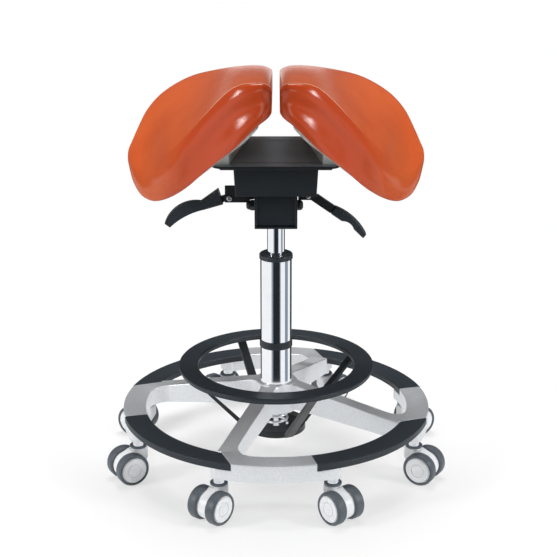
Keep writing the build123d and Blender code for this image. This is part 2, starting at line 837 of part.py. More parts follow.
with BuildPart() as seat_screws:
    with BuildSketch(Plane.XY.offset(box_top)):
        with Locations(*all_screw_points):
            Circle(seat_screw_diameter / 2)
    extrude(amount=screw_grip)
    with BuildSketch(Plane.XY.offset(box_top)):
        with Locations(*all_screw_points):
            Circle(screw_head_diameter / 2)
    extrude(amount=-screw_head_height)
finish(seat_screws, "seat_screws")

# Hand levers. Both move in the plane of the column, on pins along Y in plates that hang from the box.
left_pivot_z = pivot_z + left_pivot_rise
right_pivot_z = pivot_z + right_pivot_rise
plate_inside_left = -box_foot_width / 2 + box_wall + left_hanger_inset
plate_inside_right = box_foot_width / 2 - box_wall - right_hanger_inset
plate_ceiling = box_top - box_wall
with BuildPart() as lever_brackets:
    with BuildSketch(Plane.XZ.offset(lever_plane_gap)):
        with BuildLine():
            Polyline(
                (left_pivot_x - bracket_margin, left_pivot_z - bracket_margin),
                (plate_inside_left, left_pivot_z - bracket_margin),
                (plate_inside_left, plate_ceiling),
                (plate_inside_left - hanger_width, plate_ceiling),
                (plate_inside_left - hanger_width, box_bottom - running_gap),
                (left_pivot_x - bracket_margin, box_bottom - running_gap),
                close=True,
            )
        make_face()
        with BuildLine():
            Polyline(
                (plate_inside_right, right_pivot_z - bracket_margin),
                (right_pivot_x + bracket_margin, right_pivot_z - bracket_margin),
                (right_pivot_x + bracket_margin, plate_ceiling),
                (plate_inside_right, plate_ceiling),
                close=True,
            )
        make_face()
        with Locations((left_pivot_x, left_pivot_z), (right_pivot_x, right_pivot_z)):
            Circle(lever_pin_diameter / 2 + fit_clearance, mode=Mode.SUBTRACT)
    extrude(amount=lever_bracket_thickness)
finish(lever_brackets, "lever_brackets")

with BuildPart() as lever_pins:
    for pin_x, pin_z in ((left_pivot_x, left_pivot_z), (right_pivot_x, right_pivot_z)):
        with BuildSketch(Plane.XZ.offset(lever_plane_gap + lever_bracket_thickness)):
            with Locations((pin_x, pin_z)):
                Circle(lever_pin_head / 2)
        extrude(amount=lever_pin_head / 3)
        with BuildSketch(Plane.XZ.offset(lever_plane_gap + lever_bracket_thickness)):
            with Locations((pin_x, pin_z)):
                Circle(lever_pin_diameter / 2)
        pin_length = lever_plane_gap + lever_bracket_thickness + lever_bar_width / 2 + lever_pin_tail
        extrude(amount=-pin_length)
    head_rims = lever_pins.edges().filter_by(GeomType.CIRCLE).group_by(Axis.Y)[0]
    fillet(head_rims, lever_pin_head / 5)
finish(lever_pins, "lever_pins")


def tilted_plane(pivot_x, pivot_z, hand, drop, reach, rise):
    """Plane square to a lever, reach outwards and rise upwards from the pivot of the drooping lever."""
    out = Vector(hand * math.cos(math.radians(drop)), 0, -math.sin(math.radians(drop)))
    up = Vector(hand * math.sin(math.radians(drop)), 0, math.cos(math.radians(drop)))
    origin = Vector(pivot_x, 0, pivot_z) + out * reach + up * rise
    return Plane(origin=origin, x_dir=(0, 1, 0), z_dir=out)


def lever_sketch_plane(pivot_x, pivot_z, hand, drop):
    """Plane of a lever: local x runs outwards along it from the pivot, local y is its upper side."""
    out = Vector(hand * math.cos(math.radians(drop)), 0, -math.sin(math.radians(drop)))
    return Plane(origin=(pivot_x, 0, pivot_z), x_dir=out, z_dir=(0, -hand, 0))


# Left lever: the arm runs in over the valve button, and the grip droops outwards
left_plane = lever_sketch_plane(left_pivot_x, left_pivot_z, -1, left_drop)
arm_under = gas_top + valve_reveal + running_gap
with BuildPart() as lever_left_arm:
    with BuildSketch(Plane.XZ):
        with BuildLine():
            Polyline(
                (left_pivot_x, left_pivot_z + lever_bar_height / 2),
                (left_arm_end_x, left_pivot_z + lever_bar_height / 2),
                (left_arm_end_x, arm_under),
                (-socket_diameter / 2, arm_under),
                (-half_width - nut_length, left_pivot_z - lever_bar_height / 2),
                (left_pivot_x, left_pivot_z - lever_bar_height / 2),
                close=True,
            )
        make_face()
    extrude(amount=lever_bar_width / 2, both=True)
    with BuildSketch(left_plane):
        Circle(lever_bar_height / 2)
        with Locations((ferrule_start / 2, 0)):
            Rectangle(ferrule_start, lever_bar_height)
    extrude(amount=lever_bar_width / 2, both=True)
    with BuildSketch(left_plane):
        Circle(lever_pin_diameter / 2 + pin_clearance)
    extrude(amount=lever_bar_width, both=True, mode=Mode.SUBTRACT)
finish(lever_left_arm, "lever_left_arm")

paddle_start = ferrule_end - paddle_lap
paddle_middle = ferrule_end + paddle_length / 2
paddle_end = ferrule_end + paddle_length
paddle_edge = neck_grip_height / 2 - paddle_inset
with BuildPart() as lever_left_grip:
    with BuildSketch(tilted_plane(left_pivot_x, left_pivot_z, -1, left_drop, ferrule_start, ferrule_rise)):
        RectangleRounded(grip_width, ferrule_height, grip_round)
    with BuildSketch(tilted_plane(left_pivot_x, left_pivot_z, -1, left_drop, ferrule_end, 0)):
        RectangleRounded(paddle_width, neck_grip_height, grip_round)
    loft()
    with BuildSketch(left_plane):
        with BuildLine():
            Line((paddle_start, -paddle_edge), (paddle_start, paddle_edge))
            ThreePointArc(
                (paddle_start, paddle_edge),
                (paddle_middle, paddle_edge + paddle_crown),
                (paddle_end, -paddle_hook / 2),
            )
            Line((paddle_end, -paddle_hook / 2), (paddle_end - paddle_tip, -paddle_hook))
            ThreePointArc(
                (paddle_end - paddle_tip, -paddle_hook),
                (paddle_middle, -neck_grip_height / 2 - paddle_inset),
                (paddle_start, -paddle_edge),
            )
        make_face()
    extrude(amount=paddle_width / 2, both=True)
finish(lever_left_grip, "lever_left_grip")

# Right lever: a flat bar in a sleeve, and a shorter curved grip
right_plane = lever_sketch_plane(right_pivot_x, right_pivot_z, 1, right_drop)
with BuildPart() as lever_right_arm:
    with BuildSketch(right_plane):
        Circle(lever_bar_height / 2)
        with Locations((sleeve_end / 2, 0)):
            Rectangle(sleeve_end, lever_bar_height)
        with Locations(((sleeve_start + sleeve_end) / 2, sleeve_rise)):
            Rectangle(sleeve_end - sleeve_start, sleeve_height)
        Circle(lever_pin_diameter / 2 + pin_clearance, mode=Mode.SUBTRACT)
    extrude(amount=lever_bar_width / 2, both=True)
finish(lever_right_arm, "lever_right_arm")

sleeve_top = sleeve_rise + sleeve_height / 2
grip_end = sleeve_end + right_grip_length
grip_under = sleeve_height / 3
with BuildPart() as lever_right_grip:
    with BuildSketch(right_plane):
        with BuildLine():
            Line((sleeve_end, -grip_under), (sleeve_end, sleeve_top))
            ThreePointArc(
                (sleeve_end, sleeve_top),
                (sleeve_end + right_grip_length / 2, sleeve_top + right_grip_crown),
                (grip_end, 0),
            )
            Line((grip_end, 0), (grip_end, -right_grip_tip))
            Line((grip_end, -right_grip_tip), (sleeve_end + finger_hollow_end, -grip_under))
            ThreePointArc(
                (sleeve_end + finger_hollow_end, -grip_under),
                (sleeve_end + (finger_hollow_begin + finger_hollow_end) / 2, finger_hollow_depth - grip_under),
                (sleeve_end + finger_hollow_begin, -grip_under),
            )
            Line((sleeve_end + finger_hollow_begin, -grip_under), (sleeve_end, -grip_under))
        make_face()
    extrude(amount=paddle_width / 2, both=True)
finish(lever_right_grip, "lever_right_grip")

# Foot release: a ring on four straps from a cup that rocks on a washer under the column
strap_angles = [strap_angle + 90 * number for number in range(4)]
with BuildPart() as release_ring:
    with BuildSketch(Plane.XZ):
        ring_inner = release_ring_radius - release_ring_width
        with BuildLine():
            Polyline(
                (ring_inner + release_ring_step, ring_bottom),
                (release_ring_radius - release_ring_step, ring_bottom),
                (release_ring_radius - release_ring_step, ring_bottom + release_ring_height / 2),
                (release_ring_radius, ring_bottom + release_ring_height / 2),
                (release_ring_radius, ring_top - release_ring_step),
                (release_ring_radius - release_ring_step, ring_top),
                (ring_inner + release_ring_step, ring_top),
                (ring_inner, ring_top - release_ring_step),
                (ring_inner, ring_bottom + release_ring_height / 2),
                (ring_inner + release_ring_step, ring_bottom + release_ring_height / 2),
                close=True,
            )
        make_face()
    revolve(axis=Axis.Z)
finish(release_ring, "release_ring")

strap_top_radius = release_ring_radius - release_ring_width / 2
with BuildPart() as release_spider:
    with BuildSketch(Plane.XY.offset(cup_floor_bottom)):
        Circle(cup_radius)
    extrude(amount=cup_height)
    with BuildSketch(Plane.XY.offset(cup_floor_top)):
        Circle(cup_radius - cup_wall)
    extrude(amount=cup_height, mode=Mode.SUBTRACT)
    for angle in strap_angles:
        with BuildSketch(radial_plane(angle)):
            with BuildLine():
                Polyline(
                    (cup_radius - cup_wall / 2, cup_floor_bottom + strap_lift),
                    (cup_radius + strap_thickness, cup_floor_bottom + strap_lift),
                    (strap_top_radius, ring_bottom - strap_thickness),
                    (strap_top_radius + strap_foot / 2, ring_bottom - strap_thickness),
                    (strap_top_radius + strap_foot / 2, ring_bottom),
                    (strap_top_radius - strap_thickness, ring_bottom),
                    (cup_radius - cup_wall / 2, cup_floor_bottom + strap_lift + 2 * strap_thickness),
                    close=True,
                )
            make_face()
        extrude(amount=strap_width / 2, both=True)
    with BuildSketch(Plane.XY.offset(cup_floor_bottom)):
        Circle(cup_hole_radius)
    extrude(amount=cup_height, mode=Mode.SUBTRACT)
finish(release_spider, "release_spider")

with BuildPart() as release_washer:
    with BuildSketch(Plane.XY.offset(washer_bottom)):
        Circle(washer_radius)
        Circle(stud_diameter / 2 + running_gap, mode=Mode.SUBTRACT)
    extrude(amount=washer_height)
finish(release_washer, "release_washer")

with BuildPart() as release_stud:
    with BuildSketch(Plane.XY.offset(stud_flange_top)):
        Circle(stud_diameter / 2)
    extrude(amount=hub_bottom - stud_flange_top)
    with BuildSketch(Plane.XY.offset(stud_flange_top)):
        RegularPolygon(stud_flange_diameter / 2, 6)
    extrude(amount=-stud_flange_height)
finish(release_stud, "release_stud")


def helix_point(turn):
    height = spring_bottom + spring_wire / 2 + turn * spring_pitch
    return Vector(*polar(spring_radius, 360 * turn), height)


def helix_direction(turn):
    across = Vector(*polar(1, 360 * turn + 90), 0)
    return (across * (2 * math.pi * spring_radius) + Vector(0, 0, spring_pitch)).normalized()


def biarc(begin, end):
    """Joint and joint direction of two tangent arcs between two places on the helix."""
    chord = helix_point(end) - helix_point(begin)
    sway = helix_direction(begin) + helix_direction(end)
    # equal reaches d along both end tangents: |chord - d * sway| = 2 * d
    a = 4 - sway.dot(sway)
    b = 2 * chord.dot(sway)
    reach = (-b + math.sqrt(b * b + 4 * a * chord.dot(chord))) / (2 * a)
    first = helix_point(begin) + helix_direction(begin) * reach
    second = helix_point(end) - helix_direction(end) * reach
    return (first + second) / 2, (second - first).normalized()


# Return spring round the stud, under the column
spring_bottom = cup_floor_top + spring_free_gap
spring_pitch = (hub_bottom - spring_seat_gap - spring_bottom - spring_wire) / spring_turns
quarter = 0.25
with BuildPart() as return_spring:
    with BuildLine() as coil:
        Line(helix_point(0) - helix_direction(0) * spring_wire, helix_point(0))
        for number in range(round(spring_turns / quarter)):
            begin = number * quarter
            joint, joint_direction = biarc(begin, begin + quarter)
            TangentArc(helix_point(begin), joint, tangent=helix_direction(begin))
            TangentArc(joint, helix_point(begin + quarter), tangent=joint_direction)
        Line(
            helix_point(spring_turns),
            helix_point(spring_turns) + helix_direction(spring_turns) * spring_wire,
        )
    with BuildSketch(Plane(coil.wires()[0] @ 0, z_dir=helix_direction(0))):
        Circle(spring_wire / 2)
    sweep(path=coil.wires()[0])
finish(return_spring, "return_spring")

samples = [helix_point(number / 48) for number in range(round(spring_turns * 48) + 1)]
self_gap = min(
    (first - second).length
    for number, first in enumerate(samples)
    for second in samples[number + 24 :]
)
print("spring: least gap between turns", round(self_gap - spring_wire, 2))
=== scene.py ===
import json
import math

import bmesh
import bpy
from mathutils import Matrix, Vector

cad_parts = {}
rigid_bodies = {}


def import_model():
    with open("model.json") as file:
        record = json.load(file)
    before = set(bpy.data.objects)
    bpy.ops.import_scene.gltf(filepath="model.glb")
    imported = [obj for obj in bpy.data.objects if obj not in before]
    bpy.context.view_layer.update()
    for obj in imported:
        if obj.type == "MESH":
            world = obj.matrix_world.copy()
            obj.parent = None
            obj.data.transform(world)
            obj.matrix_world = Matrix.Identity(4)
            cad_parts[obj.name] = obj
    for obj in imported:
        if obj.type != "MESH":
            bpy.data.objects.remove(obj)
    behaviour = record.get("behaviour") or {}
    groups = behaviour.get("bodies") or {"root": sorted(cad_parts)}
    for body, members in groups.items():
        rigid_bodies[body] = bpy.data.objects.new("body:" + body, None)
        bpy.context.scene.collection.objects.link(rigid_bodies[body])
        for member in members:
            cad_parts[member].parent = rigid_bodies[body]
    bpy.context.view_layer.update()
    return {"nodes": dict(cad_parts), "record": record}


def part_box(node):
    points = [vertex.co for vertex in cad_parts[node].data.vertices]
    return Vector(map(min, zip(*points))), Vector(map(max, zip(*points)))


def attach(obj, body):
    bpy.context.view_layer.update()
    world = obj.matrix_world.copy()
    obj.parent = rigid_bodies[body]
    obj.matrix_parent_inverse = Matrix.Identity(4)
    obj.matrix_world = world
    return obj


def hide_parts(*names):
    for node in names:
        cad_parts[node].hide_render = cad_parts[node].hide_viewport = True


for leftover in list(bpy.data.objects):
    bpy.data.objects.remove(leftover)
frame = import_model()
nodes = frame["nodes"]
mm = 0.001
print("frame:", len(nodes), "nodes")


# Node tree helpers

colourMix = {"first": 6, "second": 7, "result": 2}  # a Mix node's colour sockets, by number


def srgb(red, green, blue):
    return (*[((value / 255 + 0.055) / 1.055) ** 2.4 for value in (red, green, blue)], 1)


def addNode(tree, kind, inputs=None, **settings):
    node = tree.nodes.new(kind)
    for name, value in settings.items():
        setattr(node, name, value)
    for name, value in (inputs or {}).items():
        node.inputs[name].default_value = value
    return node


def newGroup(name, inputs, outputs):
    tree = bpy.data.node_groups.new(name, "ShaderNodeTree")
    for side, sockets in (("INPUT", inputs), ("OUTPUT", outputs)):
        for label, kind in sockets.items():
            tree.interface.new_socket(label, in_out=side, socket_type=f"NodeSocket{kind}")
    return tree, tree.nodes.new("NodeGroupInput"), tree.nodes.new("NodeGroupOutput")


def useGroup(tree, group, inputs):
    node = addNode(tree, "ShaderNodeGroup", inputs, node_tree=group)
    coordinates = addNode(tree, "ShaderNodeTexCoord")
    tree.links.new(coordinates.outputs["Object"], node.inputs["Vector"])
    return node


# Effects that several finishes share

noiseRange = {"From Min": 0.3, "From Max": 0.7}  # most of a noise lies between these


def makePebble():
    tree, source, result = newGroup(
        "pebbleGrain",
        {"Vector": "Vector", "Scale": "Float"},
        {"Height": "Float"},
    )
    cells = addNode(tree, "ShaderNodeTexVoronoi", {"Smoothness": 0.6}, feature="SMOOTH_F1")
    drift = addNode(tree, "ShaderNodeTexNoise", {"Detail": 2.0})
    lift = addNode(tree, "ShaderNodeMath", {1: -0.8}, operation="MULTIPLY_ADD")  # cells stand up
    tree.links.new(source.outputs["Vector"], cells.inputs["Vector"])
    tree.links.new(source.outputs["Vector"], drift.inputs["Vector"])
    tree.links.new(source.outputs["Scale"], cells.inputs["Scale"])
    tree.links.new(source.outputs["Scale"], drift.inputs["Scale"])
    tree.links.new(cells.outputs["Distance"], lift.inputs[0])
    tree.links.new(drift.outputs["Fac"], lift.inputs[2])
    tree.links.new(lift.outputs[0], result.inputs["Height"])
    return tree


def makeSpeckle():
    tree, source, result = newGroup(
        "paintSpeckle",
        {"Vector": "Vector", "Scale": "Float", "Dark": "Color", "Light": "Color"},
        {"Color": "Color"},
    )
    flakes = addNode(tree, "ShaderNodeTexNoise", {"Detail": 3.0, "Roughness": 0.6})
    spread = addNode(tree, "ShaderNodeMapRange", noiseRange)
    blend = addNode(tree, "ShaderNodeMix", data_type="RGBA")
    tree.links.new(source.outputs["Vector"], flakes.inputs["Vector"])
    tree.links.new(source.outputs["Scale"], flakes.inputs["Scale"])
    tree.links.new(flakes.outputs["Fac"], spread.inputs["Value"])
    tree.links.new(spread.outputs["Result"], blend.inputs["Factor"])
    tree.links.new(source.outputs["Dark"], blend.inputs[colourMix["first"]])
    tree.links.new(source.outputs["Light"], blend.inputs[colourMix["second"]])
    tree.links.new(blend.outputs[colourMix["result"]], result.inputs["Color"])
    return tree


def makeHandling():
    tree, source, result = newGroup(
        "handlingMarks",
        {"Vector": "Vector", "Scale": "Float", "Smooth": "Float", "Rough": "Float"},
        {"Roughness": "Float"},
    )
    smears = addNode(tree, "ShaderNodeTexNoise", {"Detail": 4.0, "Distortion": 0.6})
    spread = addNode(tree, "ShaderNodeMapRange", noiseRange)
    tree.links.new(source.outputs["Vector"], smears.inputs["Vector"])
    tree.links.new(source.outputs["Scale"], smears.inputs["Scale"])
    tree.links.new(smears.outputs["Fac"], spread.inputs["Value"])
    tree.links.new(source.outputs["Smooth"], spread.inputs["To Min"])
    tree.links.new(source.outputs["Rough"], spread.inputs["To Max"])
    tree.links.new(spread.outputs["Result"], result.inputs["Roughness"])
    return tree


pebble = makePebble()
speckle = makeSpeckle()
handling = makeHandling()


# Finishes: two tones and two roughnesses that drift, and a grain of some scale, depth and strength

def newFinish(
    name, dark, light, toneScale, smooth, rough, markScale=20.0, metallic=0.0, specular=0.5, grain=None,
):
    finish = bpy.data.materials.new(name)
    finish.use_nodes = True
    tree = finish.node_tree
    shader = tree.nodes["Principled BSDF"]
    shader.inputs["Metallic"].default_value = metallic
    shader.inputs["Specular IOR Level"].default_value = specular
    tone = useGroup(tree, speckle, {"Scale": toneScale, "Dark": dark, "Light": light})
    tree.links.new(tone.outputs["Color"], shader.inputs["Base Color"])
    marks = useGroup(tree, handling, {"Scale": markScale, "Smooth": smooth, "Rough": rough})
    tree.links.new(marks.outputs["Roughness"], shader.inputs["Roughness"])
    if grain:
        grainScale, grainDepth, grainStrength = grain
        texture = useGroup(tree, pebble, {"Scale": grainScale})
        bump = addNode(tree, "ShaderNodeBump", {"Strength": grainStrength, "Distance": grainDepth})
        tree.links.new(texture.outputs["Height"], bump.inputs["Height"])
        tree.links.new(bump.outputs["Normal"], shader.inputs["Normal"])
    return finish


powderCoat = {
    "dark": srgb(25, 30, 34),
    "light": srgb(36, 42, 47),
    "toneScale": 1500.0,
    "smooth": 0.34,
    "rough": 0.44,
    "specular": 0.35,
    "grain": (1400.0, 0.0002, 0.2),
}
finishes = {
    "orange_vinyl": newFinish(
        "orangeVinyl", srgb(179, 76, 35), srgb(186, 84, 41), toneScale=14.0,
        smooth=0.17, rough=0.21, markScale=9.0, specular=0.36, grain=(800.0, 0.0004, 0.12),
    ),
    "pale_shell": newFinish(
        "paleShell", srgb(200, 209, 205), srgb(212, 220, 216), toneScale=60.0,
        smooth=0.4, rough=0.5, grain=(900.0, 0.0002, 0.15),
    ),
    "black_steel": newFinish("blackPowderCoat", **powderCoat),
    # the seat plate's copy of the powder coat, with a painted sheen on its upward faces
    "plate_steel_sheen": newFinish("platePowderCoatSheen", **powderCoat),
    "bright_steel": newFinish(
        "brightZinc", srgb(206, 208, 212), srgb(232, 234, 238), toneScale=240.0,
        smooth=0.26, rough=0.38, markScale=60.0, metallic=1.0,
    ),
    "black_plastic": newFinish(
        "blackMoulding", srgb(36, 43, 49), srgb(44, 52, 59), toneScale=400.0,
        smooth=0.4, rough=0.5, specular=0.36, grain=(1600.0, 0.0001, 0.15),
    ),
    "guide_plastic": newFinish(
        "guidePlastic", srgb(225, 225, 220), srgb(236, 236, 232), toneScale=80.0,
        smooth=0.4, rough=0.5,
    ),
    "chrome": newFinish(
        "columnChrome", srgb(236, 239, 243), srgb(244, 246, 249), toneScale=30.0,
        smooth=0.03, rough=0.07, markScale=14.0, metallic=1.0,
    ),
    "cast_silver": newFinish(
        "silverCastPaint", srgb(214, 217, 221), srgb(240, 242, 245), toneScale=700.0,
        smooth=0.38, rough=0.46, markScale=30.0, metallic=0.76, grain=(900.0, 0.0003, 0.25),
    ),
    "collar_grey": newFinish(
        "collarGrey", srgb(74, 84, 94), srgb(84, 94, 104), toneScale=300.0,
        smooth=0.34, rough=0.44, grain=(1500.0, 0.0001, 0.12),
    ),
    "castor_white": newFinish(
        "castorWhite", srgb(238, 240, 243), srgb(246, 248, 250), toneScale=50.0,
        smooth=0.26, rough=0.36, grain=(1400.0, 0.0001, 0.08),
    ),
    "tyre_grey": newFinish(
        "tyreGrey", srgb(78, 86, 93), srgb(89, 97, 105), toneScale=260.0,
        smooth=0.42, rough=0.54, grain=(1100.0, 0.0002, 0.2),
    ),
}
vinylShadeAndHighlight = {"front": srgb(178, 65, 27), "seam": srgb(236, 176, 146)}  # painted shade on the front panel and a painted highlight along the seam, by the cushions' attributes
plateTopSheen = {"tint": srgb(124, 132, 139), "low": 0.5, "high": 0.95}  # painted sheen: a paler tone for the light that upward faces catch; it grows as a face turns upwards
repainted = {
    "lever_left_arm": "black_steel",
    "lever_right_arm": "black_steel",
    "seat_plate": "plate_steel_sheen",
}
unreflected = (  # starts of names; without them the column shows plain bands down to its foot
    "base_",
    "foot_rest_",
    "release_ring",
    "release_spider",
    "castor_",
)


def addTint(finish, mask, tint):
    tree = finish.node_tree
    colour = tree.nodes["Principled BSDF"].inputs["Base Color"]
    tone = colour.links[0].from_socket
    blend = addNode(tree, "ShaderNodeMix", {colourMix["second"]: tint}, data_type="RGBA")
    tree.links.new(mask, blend.inputs["Factor"])
    tree.links.new(tone, blend.inputs[colourMix["first"]])
    tree.links.new(blend.outputs[colourMix["result"]], colour)


def tintMarked(finish, attribute, tint):
    mask = addNode(finish.node_tree, "ShaderNodeAttribute", attribute_name=attribute)
    addTint(finish, mask.outputs["Fac"], tint)


# Painted sheen: faces that turn upwards are mixed towards a paler tone
def paintTopSheen(finish, tint, low, high):
    tree = finish.node_tree
    surface = addNode(tree, "ShaderNodeNewGeometry")
    split = addNode(tree, "ShaderNodeSeparateXYZ")
    mask = addNode(tree, "ShaderNodeMapRange", {"From Min": low, "From Max": high})
    tree.links.new(surface.outputs["Normal"], split.inputs[0])
    tree.links.new(split.outputs["Z"], mask.inputs["Value"])
    addTint(finish, mask.outputs["Result"], tint)


# Paints shade on the cushions' front panel and a highlight along the seam
for attribute, tint in vinylShadeAndHighlight.items():
    tintMarked(finishes["orange_vinyl"], attribute, tint)
paintTopSheen(finishes["plate_steel_sheen"], **plateTopSheen)
for node in nodes.values():
    for place in node.material_slots:
        place.material = finishes[place.material.name]
for name, finish in repainted.items():
    nodes[name].material_slots[0].material = finishes[finish]
for name, node in nodes.items():
    if name.startswith(unreflected):
        node.visible_glossy = False
print("finishes:", len(finishes))


# Rounded edges of the rigid pieces

edgeRounds = {  # mm, by the start of the node's name
    "base_casting": 1.6,
    "foot_rest_arc": 0.8,
    "release_ring": 0.8,
    "release_spider": 0.6,
    "mechanism_box": 1.0,
    "seat_plate": 0.8,
    "swivel_bracket": 0.8,
    "lever_brackets": 0.6,
    "lever_right_grip": 2.0,
    "lever_right_arm": 0.8,
    "column_band": 0.6,
}
castorRounds = {"fork": 1.2, "wheels": 0.4, "tyres": 1.0}  # mm, by the end of the node's name
edgeSettings = {"weld": 0.01, "segments": 3, "leastAngle": 35}  # mm, count, degrees


def softenEdges(node, width):
    weld = node.modifiers.new("weld", "WELD")
    weld.merge_threshold = edgeSettings["weld"] * mm
    bevel = node.modifiers.new("rounds", "BEVEL")
    bevel.width = width * mm
    bevel.segments = edgeSettings["segments"]
    bevel.limit_method = "ANGLE"
    bevel.angle_limit = math.radians(edgeSettings["leastAngle"])
    bevel.use_clamp_overlap = False
    normals = node.modifiers.new("normals", "WEIGHTED_NORMAL")
    normals.keep_sharp = False


for name, node in nodes.items():
    width = next((value for start, value in edgeRounds.items() if name.startswith(start)), None)
    if name.startswith("castor_"):
        width = castorRounds.get(name.rsplit("_", 1)[1])
    if width:
        softenEdges(node, width)
print("edges rounded")


# New pieces

def smoothFaces(form):
    bmesh.ops.recalc_face_normals(form, faces=form.faces)
    for face in form.faces:
        face.smooth = True


def newPiece(name, form, finish):
    mesh = bpy.data.meshes.new(name)
    form.to_mesh(mesh)
    form.free()
    mesh.materials.append(finish)
    piece = bpy.data.objects.new(name, mesh)
    bpy.context.scene.collection.objects.link(piece)
    return piece


# Seat cushions: cuts across one half, joined into one padded form

cushionSizes = {  # mm
    "plateTop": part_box("seat_plate")[1].z / mm,  # heights are counted from here
    "cuts": [  # distance from the middle, then y, top and bottom of the front and of the rear
        (5.5, -145, 135, 88, 142, 106, 60),
        (25, -148, 138, 75, 148, 110, 52),
        (60, -137, 130, 38, 150, 109, 45),
        (100, -110, 89, 0, 149, 105, 38),
        (140, -82, 44, -40, 141, 97, 26),
        (180, -58, 6, -63, 122, 77, 8),
        (206, -36, -8, -60, 98, 52, -8),
        (222, -8, -9, -43, 62, 22, -16),
        (230, 16, -6, -23, 40, 4, -10),
    ],
    "fronts": [  # distance, then share of the front's height and mm out: bulge, valley, roll
        (5.5, 0.25, 3, 0.56, 2, 0.82, 4),
        (30, 0.22, 5.5, 0.55, 0, 0.82, 6),
        (55, 0.2, 6, 0.55, -0.5, 0.8, 6.6),
        (75, 0.2, 4.5, 0.52, -1, 0.8, 6.6),
        (100, 0.2, 1.5, 0.45, 0.5, 0.78, 6),
        (125, 0.2, 3.5, 0.4, 5.5, 0.7, 8),
        (150, 0.2, 9, 0.36, 13, 0.62, 15),
        (180, 0.2, 7, 0.36, 10, 0.58, 12),
        (215, 0.25, 3, 0.4, 4, 0.55, 4),
        (230, 0.25, 1, 0.4, 2, 0.55, 2),
    ],
    "topShares": (0.012, 0.04, 0.09, 0.18, 0.32, 0.5, 0.68, 0.84, 0.95),  # points along each side
    "rearShares": (0.04, 0.2, 0.4, 0.6, 0.8, 0.96),
    "underShares": (0.96, 0.8, 0.6, 0.4, 0.2, 0.04),
    "frontShares": (0.015, 0.07, 0.15, 0.24, 0.33, 0.42, 0.51, 0.6, 0.68, 0.76, 0.83, 0.89, 0.94, 0.98),
    "between": 3,  # extra cuts between two of the list
    "innerRound": 12,  # round of the edge beside the gap
    "innerSteps": 4,
    "innerRoom": 2,  # from that round to the next cut, at least
    "innerEnd": (0.5, 0.25),  # shares of the first cut's depth and height that close its end
    "outerEnds": ((1.6, 0.6), (2, 0.2)),  # past the last cut, and the share of it
    "fullDepth": 150,  # a cut shallower than this swells less
    "crown": 7,
    "rearSwell": 11,
    "underSag": 2,
    "seamDepth": 2.2,
    "seamLip": 0.8,  # from the top panel's edge down to the seam
    "seamEdge": (0.2, 0.3),  # the panel's edge stands out and up
    "seamFades": (85, 125),  # the seam runs out between these distances
    "crease": (3.5, 14),  # what follows the seam: depth, and reach over the top
    "creaseShares": (0.5, 0.9),  # of that depth, in the seam and on the panel's edge
    "creaseFades": (150, 190),
    "frontShadeFades": (105, 195),  # painted shade: the front panel's deeper, redder tone
    "lean": (0.36, 158, 214),  # the front's top goes back: share of the depth, grows between distances
    "shoulder": (40, 110, 175),  # round of the upper front edge, grows between distances
    "shoulderRoom": 0.55,  # share of a thin cut that this round may take
    "rearRound": 9,  # round of the upper rear edge
    "rearRoom": 0.4,
    "leastRound": 1,
    "seamPoint": 1,  # place of the panel's edge in a cut's list of points
    "subdivisions": 2,
}


def between(first, second, share):
    return first + (second - first) * share


def fade(value, low, high):
    share = min(1, max(0, (value - low) / (high - low)))
    return share * share * (3 - 2 * share)


def arch(share):
    return 4 * share * (1 - share)  # 1 in the middle


def smoothRow(rows, distance):  # a cubic through the rows, so that the form has no kinks
    index = max(i for i in range(len(rows) - 1) if rows[i][0] <= distance)
    before, after = rows[index], rows[index + 1]
    span = after[0] - before[0]
    share = (distance - before[0]) / span

    def slope(i, column):
        low, high = max(i - 1, 0), min(i + 1, len(rows) - 1)
        return (rows[high][column] - rows[low][column]) / (rows[high][0] - rows[low][0])

    values = []
    for column in range(1, len(before)):
        begin, end = before[column], after[column]
        leaving, arriving = slope(index, column) * span, slope(index + 1, column) * span
        values.append(
            begin + leaving * share
            + (3 * (end - begin) - 2 * leaving - arriving) * share ** 2
            + (2 * (begin - end) + leaving + arriving) * share ** 3
        )
    return values


def frontOut(distance, share):
    bulgeAt, bulge, valleyAt, valley, rollAt, roll = smoothRow(cushionSizes["fronts"], distance)
    if share < bulgeAt:
        return bulge * math.sin(math.pi / 2 * share / bulgeAt)
    if share < valleyAt:
        return between(bulge, valley, fade(share, bulgeAt, valleyAt))
    if share < rollAt:
        return between(valley, roll, fade(share, valleyAt, rollAt))
    return roll * math.cos(math.pi / 2 * (share - rollAt) / (1 - rollAt))


def seamShare(distance):
    return 1 - fade(distance, *cushionSizes["seamFades"])


def roundCorner(points, corner, radius):  # bends the points near a corner onto a curve
    if radius < cushionSizes["leastRound"]:
        return points
    count = len(points)

    def walk(step):
        places, length = [], 0
        index = corner
        while length < radius:
            here = Vector(points[index % count])
            ahead = Vector(points[(index + step) % count])
            length += (ahead - here).length
            index += step
            places.append((index % count, length))
        overshoot = (length - radius) / (ahead - here).length
        return places[:-1], ahead.lerp(here, overshoot)

    middle = Vector(points[corner])
    earlier, begin = walk(-1)
    later, end = walk(1)
    bent = list(points)
    spots = [(index, -length) for index, length in earlier] + [(corner, 0)] + later
    for index, length in spots:
        share = (radius + length) / (2 * radius)
        bent[index] = tuple(begin.lerp(middle, share).lerp(middle.lerp(end, share), share))
    return bent


